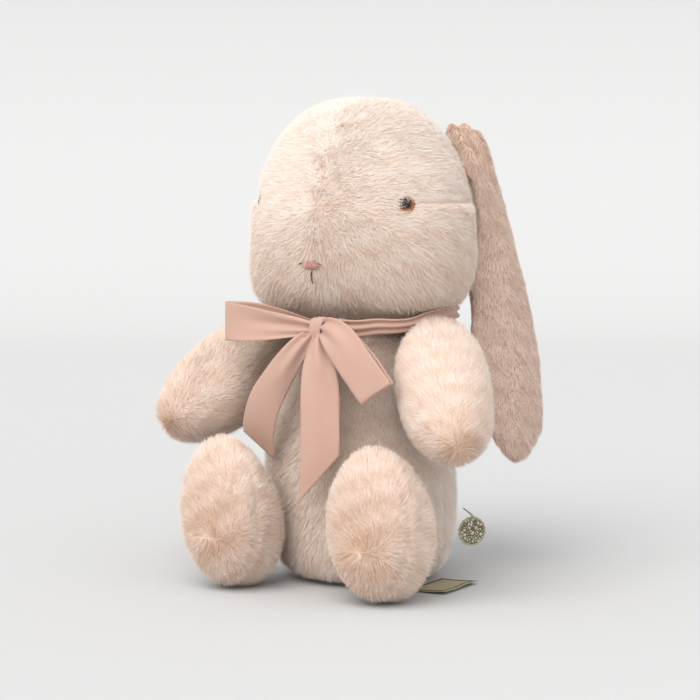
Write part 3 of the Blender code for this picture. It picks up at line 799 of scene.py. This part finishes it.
ribbon(
    "bow_tail_right",
    [
        (0.0035, -0.0665, 0.1690, 1, 0.1, 0, 0.0070, 0.0, 0.0010),
        (-0.0035, -0.0690, 0.1610, 0.9, 0.2, -0.2, 0.0130, 0.002, 0.0012),
        (-0.0125, -0.0700, 0.1500, 0.85, 0.3, -0.3, 0.0170, 0.003, 0.0006),
        (-0.0220, -0.0700, 0.1370, 0.82, 0.25, -0.3, 0.0200, 0.003, 0.0),
        (-0.0320, -0.0690, 0.1220, 0.82, 0.1, -0.2, 0.0230, 0.002, 0.0),
        (-0.0390, -0.0655, 0.1060, 0.85, 0.0, -0.1, 0.0245, 0.001, 0.0),
        (-0.0425, -0.0610, 0.0920, 0.85, -0.1, 0.1, 0.0250, 0.0, 0.0),
    ],
    "ribbon_right_tail", phase=0.8, cut=0.012,
)


def knot():
    """The ribbon's turn round the bow's middle: a narrow gathered band, closed on itself."""
    rows, turns, columns = [], 28, 9
    centre = np.array([0.0066, -0.0655, 0.1710])
    for i in range(turns):
        a = 2 * math.pi * i / turns
        for s in np.linspace(-1, 1, columns):
            crease = 0.00045 * math.sin(3.2 * math.pi * s + 1.2 * math.sin(a))
            tall = 0.0078 + crease + 0.0007 * s
            deep = 0.0046 + crease
            x = s * (0.0052 - 0.0009 * math.cos(2 * a)) + 0.0009 * math.sin(a)
            y = -deep * math.cos(a) * (1 - 0.15 * s * s)
            z = tall * math.sin(a) * (1 - 0.12 * s * s)
            rows.append(centre + [x, y, z])
    faces = []
    for i in range(turns):
        k = (i + 1) % turns
        for j in range(columns - 1):
            faces.append((
                i * columns + j, i * columns + j + 1, k * columns + j + 1, k * columns + j,
            ))
    obj = new_object("bow_knot", rows, faces, TAFFETA)
    obj.modifiers.new("thickness", "SOLIDIFY").thickness = CLOTH_THICKNESS
    obj.modifiers.new("subdivision", "SUBSURF").levels = 1
    applied(obj)
    obj.data.shade_smooth()
    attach(obj, "torso")
    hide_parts("ribbon_knot")
    return obj


knot()

# Face


def eye_material():
    """A clear amber dome over a black pupil that sits towards the nose."""
    m, n, l, p = principled("eye_amber")
    where = n.new("ShaderNodeTexCoord")
    ramps = []
    for word, sign in (("left", 1), ("right", -1)):
        away = n.new("ShaderNodeVectorMath")
        away.operation = "DISTANCE"
        away.inputs[1].default_value = EYE_TOPS[word] + np.array([-0.0022 * sign, -0.0012, 0.0010])
        l.new(where.outputs["Object"], away.inputs[0])
        ramps.append(away.outputs["Value"])
    nearest = n.new("ShaderNodeMath")
    nearest.operation = "MINIMUM"
    l.new(ramps[0], nearest.inputs[0])
    l.new(ramps[1], nearest.inputs[1])
    scaled = n.new("ShaderNodeMath")
    scaled.operation = "MULTIPLY"
    scaled.inputs[1].default_value = 100.0
    l.new(nearest.outputs["Value"], scaled.inputs[0])
    ramp = n.new("ShaderNodeValToRGB")
    r = ramp.color_ramp
    r.elements[0].position = 0.31
    r.elements[0].color = linear(0.035, 0.03, 0.03)
    r.elements[1].position = 0.40
    r.elements[1].color = linear(0.34, 0.17, 0.07)
    rim = r.elements.new(0.56)
    rim.color = linear(0.66, 0.38, 0.16)
    edge = r.elements.new(0.80)
    edge.color = linear(0.22, 0.11, 0.06)
    l.new(scaled.outputs["Value"], ramp.inputs["Fac"])
    l.new(ramp.outputs["Color"], p.inputs["Base Color"])
    p.inputs["Roughness"].default_value = 0.12
    p.inputs["Specular IOR Level"].default_value = 0.25
    p.inputs["Coat Weight"].default_value = 0.35
    p.inputs["Coat Roughness"].default_value = 0.03
    return m


def dome(name, foot, axis, radius, height, material):
    """A glossy plastic button with a rounded edge, its flat back set into the pile."""
    side = unit(np.cross(axis, UP))
    other = np.cross(side, axis)
    around_it, rings, points, faces = 40, 14, [], []
    for k in range(rings + 1):
        t = math.pi / 2 * k / rings
        for c in range(around_it):
            a = 2 * math.pi * c / around_it
            spoke = side * math.cos(a) + other * math.sin(a)
            points.append(foot + spoke * radius * math.cos(t) ** 0.9 + axis * height * math.sin(t))
    for k in range(rings):
        for c in range(around_it):
            d = (c + 1) % around_it
            i, j = k * around_it, (k + 1) * around_it
            faces.append((i + c, i + d, j + d, j + c))
    faces.append(tuple(reversed(range(around_it))))
    return new_object(name, points, faces, material)


head_tree = BVHTree.FromPolygons(
    [Vector(v) for v in positions(head)], [tuple(f.vertices) for f in head.data.polygons]
)


EYE_RADIUS, EYE_HEIGHT = 0.0066, 0.0048
EYE_SINK = 0.0012  # the button's back lies this far inside the cover
EYE_TOPS, EYE_FEET = {}, {}
for word, top in EYES.items():
    out = unit(np.array([top[0], top[1], 0.0]))
    hit, normal, _, _ = head_tree.ray_cast(Vector(top + out * 0.02), Vector(-out))
    EYE_FEET[word] = (np.array(hit) - out * EYE_SINK, unit(0.5 * np.array(normal) + 0.5 * out))
    EYE_TOPS[word] = np.array(hit) + EYE_FEET[word][1] * 0.0046
eye = eye_material()
for word in ("left", "right"):
    foot, axis = EYE_FEET[word]
    button = dome(f"{word}_eye_button", foot, axis, EYE_RADIUS, EYE_HEIGHT, eye)
    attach(button, "head")
    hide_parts(f"{word}_eye")


def on_head(x, z, lift):
    """A point on the front of the head's cover, lifted off it."""
    hit, normal, _, _ = head_tree.ray_cast(Vector((x, -0.2, z)), Vector((0, 1, 0)))
    return np.array(hit + normal * lift)


def threads(name, routes, radius, material, body, node=None):
    """Round stitches, one tube for each route, in place of a CAD node where one is named."""
    points, faces, ring = [], [], 6
    for route in routes:
        route = np.asarray(route, float)
        runs = unit(np.gradient(route, axis=0))
        side = unit(np.cross(runs[0], UP + [0.13, 0, 0]))
        start = len(points)
        for k, (p, run) in enumerate(zip(route, runs)):
            side = unit(side - run * (side @ run))
            other = np.cross(run, side)
            thin = radius * (0.6 if k in (0, len(route) - 1) else 1.0)
            for c in range(ring):
                a = 2 * math.pi * c / ring
                points.append(p + (side * math.cos(a) + other * math.sin(a)) * thin)
        last = start + (len(route) - 1) * ring
        for k in range(len(route) - 1):
            for c in range(ring):
                d = (c + 1) % ring
                a, b = start + k * ring, start + (k + 1) * ring
                faces.append((a + c, a + d, b + d, b + c))
        faces.append(tuple(start + c for c in reversed(range(ring))))
        faces.append(tuple(last + c for c in range(ring)))
    obj = new_object(name, points, faces, material)
    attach(obj, body)
    if node:
        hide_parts(node)
    return obj


STITCH_RADIUS = 0.00032


def stitches():
    """The nose's fan with a short dark mark at each end, and the mouth's one upright stitch."""
    r = np.random.default_rng(5)
    fan = []
    for k in range(19):
        u = (k - 9) / 9
        low = np.array([0.0022 * u, NOSE[2] - 0.0030])
        high = np.array([
            0.0070 * u, NOSE[2] + 0.0032 - 0.0016 * abs(u) ** 1.5 + r.uniform(-0.0004, 0.0004),
        ])
        route = []
        for t in np.linspace(0, 1, 7):
            x, z = low * (1 - t) + high * t
            route.append(on_head(x, z, 0.0010 + 0.0020 * math.sin(math.pi * t) ** 0.5))
        fan.append(route)
    threads(
        "nose_stitches", fan, STITCH_RADIUS, NOSE_THREAD,
        "head", "nose_embroidery",
    )
    # Short dark marks at the nose's ends, drawn in the mouth's dark thread.
    ends = []
    for sign in (-1, 1):
        route = [
            on_head(sign * (0.0060 + 0.0026 * t), NOSE[2] + 0.0016 - 0.0012 * t, 0.0028)
            for t in np.linspace(0, 1, 5)
        ]
        ends.append(route)
    mouth = []
    for shift in (-0.0006, 0.0006):
        route = []
        for t in np.linspace(0, 1, 8):
            z = NOSE[2] - 0.0034 - 0.0088 * t
            x = shift * math.sin(math.pi * min(1.0, t * 1.4 + 0.1))
            route.append(on_head(x, z, 0.0012 + 0.0024 * math.sin(math.pi * t) ** 0.6))
        mouth.append(route)
    threads(
        "mouth_stitches", mouth + ends, STITCH_RADIUS, DARK_THREAD,
        "head", "mouth_stitch",
    )


stitches()

# Tags


def card_material():
    """Unbleached card printed with a ring of small generic marks."""
    m, n, l, p = principled("tag_card_print")
    low, high = (np.array(v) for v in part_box("swing_tag"))
    where = n.new("ShaderNodeTexCoord")
    cells = n.new("ShaderNodeTexVoronoi")
    cells.feature = "DISTANCE_TO_EDGE"
    cells.inputs["Scale"].default_value = 480.0
    l.new(where.outputs["Object"], cells.inputs["Vector"])
    marks = n.new("ShaderNodeValToRGB")
    marks.color_ramp.elements[0].position = 0.10
    marks.color_ramp.elements[0].color = linear(0.42, 0.39, 0.30)
    marks.color_ramp.elements[1].position = 0.22
    marks.color_ramp.elements[1].color = linear(0.84, 0.82, 0.74)
    l.new(cells.outputs["Distance"], marks.inputs["Fac"])
    away = n.new("ShaderNodeVectorMath")
    away.operation = "DISTANCE"
    away.inputs[1].default_value = (low + high) / 2
    l.new(where.outputs["Object"], away.inputs[0])
    rim = n.new("ShaderNodeMapRange")
    rim.inputs["From Min"].default_value = 0.0086
    rim.inputs["From Max"].default_value = 0.0090
    l.new(away.outputs["Value"], rim.inputs["Value"])
    mix = n.new("ShaderNodeMix")
    mix.data_type = "RGBA"
    l.new(rim.outputs["Result"], mix.inputs["Factor"])
    l.new(marks.outputs["Color"], mix.inputs["A"])
    mix.inputs["B"].default_value = linear(0.70, 0.66, 0.54)
    l.new(mix.outputs["Result"], p.inputs["Base Color"])
    p.inputs["Roughness"].default_value = 0.75
    return m


def paint(node, material):
    """Gives a CAD node that stays in view its own surface."""
    nodes[node].data.materials.clear()
    nodes[node].data.materials.append(material)


paint("swing_tag", card_material())
paint("tag_thread", mottled(
    "tag_string", linear(0.80, 0.76, 0.66), linear(0.66, 0.61, 0.50), 900.0,
    rough=0.8, bump=0.4, bump_scale=4000.0,
))


def label():
    """A flat woven label on the floor, with a plain border stitched just inside its edge."""
    low, high = (np.array(v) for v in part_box("sewn_label"))
    long, wide = 24, 14

    def swell(u, v):
        return 0.0012 * v**3 + 0.0007 * (math.sin(4 * u + 2 * v) * v) ** 2

    rows = []
    for i in range(long + 1):
        for j in range(wide + 1):
            x = low[0] + (high[0] - low[0]) * j / wide
            y = low[1] + (high[1] - low[1]) * i / long
            u, v = i / long, j / wide
            z = ON_FLOOR + swell(u, v)
            rows.append((x, y, z))
    faces = [
        (
            i * (wide + 1) + j, i * (wide + 1) + j + 1,
            (i + 1) * (wide + 1) + j + 1, (i + 1) * (wide + 1) + j,
        )
        for i in range(long)
        for j in range(wide)
    ]
    cloth = mottled(
        "label_weave", linear(0.70, 0.66, 0.52), linear(0.62, 0.58, 0.44), 300.0,
        rough=0.85, bump=0.35, bump_scale=3000.0, sheen=0.1, ribs=2200.0,
    )
    obj = new_object("care_label", rows, faces, cloth)
    thick = obj.modifiers.new("thickness", "SOLIDIFY")
    thick.thickness = 0.0005
    thick.offset = 1
    applied(obj)
    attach(obj, "label")
    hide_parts("sewn_label")
    edge = []
    for inset in (0.0022, 0.0030):
        x0, x1, y0, y1 = low[0] + inset, high[0] - inset, low[1] + inset, high[1] - inset
        corners = [(x0, y0), (x1, y0), (x1, y1), (x0, y1), (x0, y0)]
        route = []
        for a, b in zip(corners, corners[1:]):
            for t in np.linspace(0, 1, 12, endpoint=False):
                x, y = a[0] * (1 - t) + b[0] * t, a[1] * (1 - t) + b[1] * t
                u, v = (y - low[1]) / (high[1] - low[1]), (x - low[0]) / (high[0] - low[0])
                route.append((x, y, 0.00115 + swell(u, v)))
        edge.append(route)
    dark = mottled(
        "label_thread", linear(0.36, 0.33, 0.24), linear(0.28, 0.26, 0.18), 900.0,
        rough=0.8, bump=0.2, bump_scale=3000.0,
    )
    threads("care_label_border", edge, 0.00022, dark, "label")


label()


# Studio


def floor():
    """A pale sweep: flat under the rabbit, curving up far behind."""
    back = np.array([math.sin(AZIMUTH), -math.cos(AZIMUTH), 0])
    across = np.array([math.cos(AZIMUTH), math.sin(AZIMUTH), 0])
    profile = [(2.2, 0.0), (-1.6, 0.0)]
    for k in range(1, 13):
        a = math.pi / 2 * k / 12
        profile.append((-1.6 - 0.8 * math.sin(a), 0.8 - 0.8 * math.cos(a)))
    profile.append((-2.4, 3.2))
    rows = [back * d + across * s * 3.5 + UP * z for d, z in profile for s in (-1, 1)]
    faces = [(2 * i, 2 * i + 1, 2 * i + 3, 2 * i + 2) for i in range(len(profile) - 1)]
    m, _, _, p = principled("studio_paper")
    p.inputs["Base Color"].default_value = linear(0.777, 0.777, 0.777)
    p.inputs["Roughness"].default_value = 0.9
    p.inputs["Specular IOR Level"].default_value = 0.1
    obj = new_object("studio_sweep", rows, faces, m)


def area_light(name, place, aim, size, power, colour):
    """A round soft light at one point that looks at another."""
    data = bpy.data.lights.new(name, "AREA")
    data.shape = "DISK"
    data.size = size
    data.energy = power
    data.color = colour
    lamp = bpy.data.objects.new(name, data)
    bpy.context.scene.collection.objects.link(lamp)
    lamp.location = Vector(place)
    lamp.rotation_euler = (Vector(aim) - Vector(place)).to_track_quat("-Z", "Y").to_euler()


AZIMUTH, ELEVATION = math.radians(32), math.radians(5.5)
BACK = np.array([
    math.sin(AZIMUTH) * math.cos(ELEVATION),
    -math.cos(AZIMUTH) * math.cos(ELEVATION),
    math.sin(ELEVATION),
])
RIGHT = np.array([math.cos(AZIMUTH), math.sin(AZIMUTH), 0.0])
TARGET = UP * 0.1517 - RIGHT * 0.0086
DISTANCE = 1.5

camera_data = bpy.data.cameras.new("camera")
camera_data.lens = 116
camera_data.sensor_width = 36
camera = bpy.data.objects.new("camera", camera_data)
bpy.context.scene.collection.objects.link(camera)
camera.location = Vector(TARGET + BACK * DISTANCE)
camera.rotation_euler = Vector(-BACK).to_track_quat("-Z", "Y").to_euler()
bpy.context.scene.camera = camera
bpy.context.scene.view_settings.view_transform = "Standard"

floor()
middle = np.array([0, 0, 0.15])
sun = bpy.data.lights.new("window", "SUN")
sun.energy = 2.35
sun.angle = math.radians(55)
sun.color = (1.0, 0.985, 0.965)
window = bpy.data.objects.new("window", sun)
bpy.context.scene.collection.objects.link(window)
window.rotation_euler = (
    Vector(-RIGHT * 0.52 + UP * 1.15 + BACK * 0.90).to_track_quat("Z", "Y").to_euler()
)
area_light(
    "fill", middle + RIGHT * 0.5 + UP * 0.4 + BACK * 1.6, middle, 1.4, 3, (1.0, 0.975, 0.95)
)
world = bpy.data.worlds.new("studio_air")
bpy.context.scene.world = world
world.use_nodes = True
world.node_tree.nodes["Background"].inputs["Color"].default_value = linear(0.96, 0.965, 0.97)
world.node_tree.nodes["Background"].inputs["Strength"].default_value = 0.95
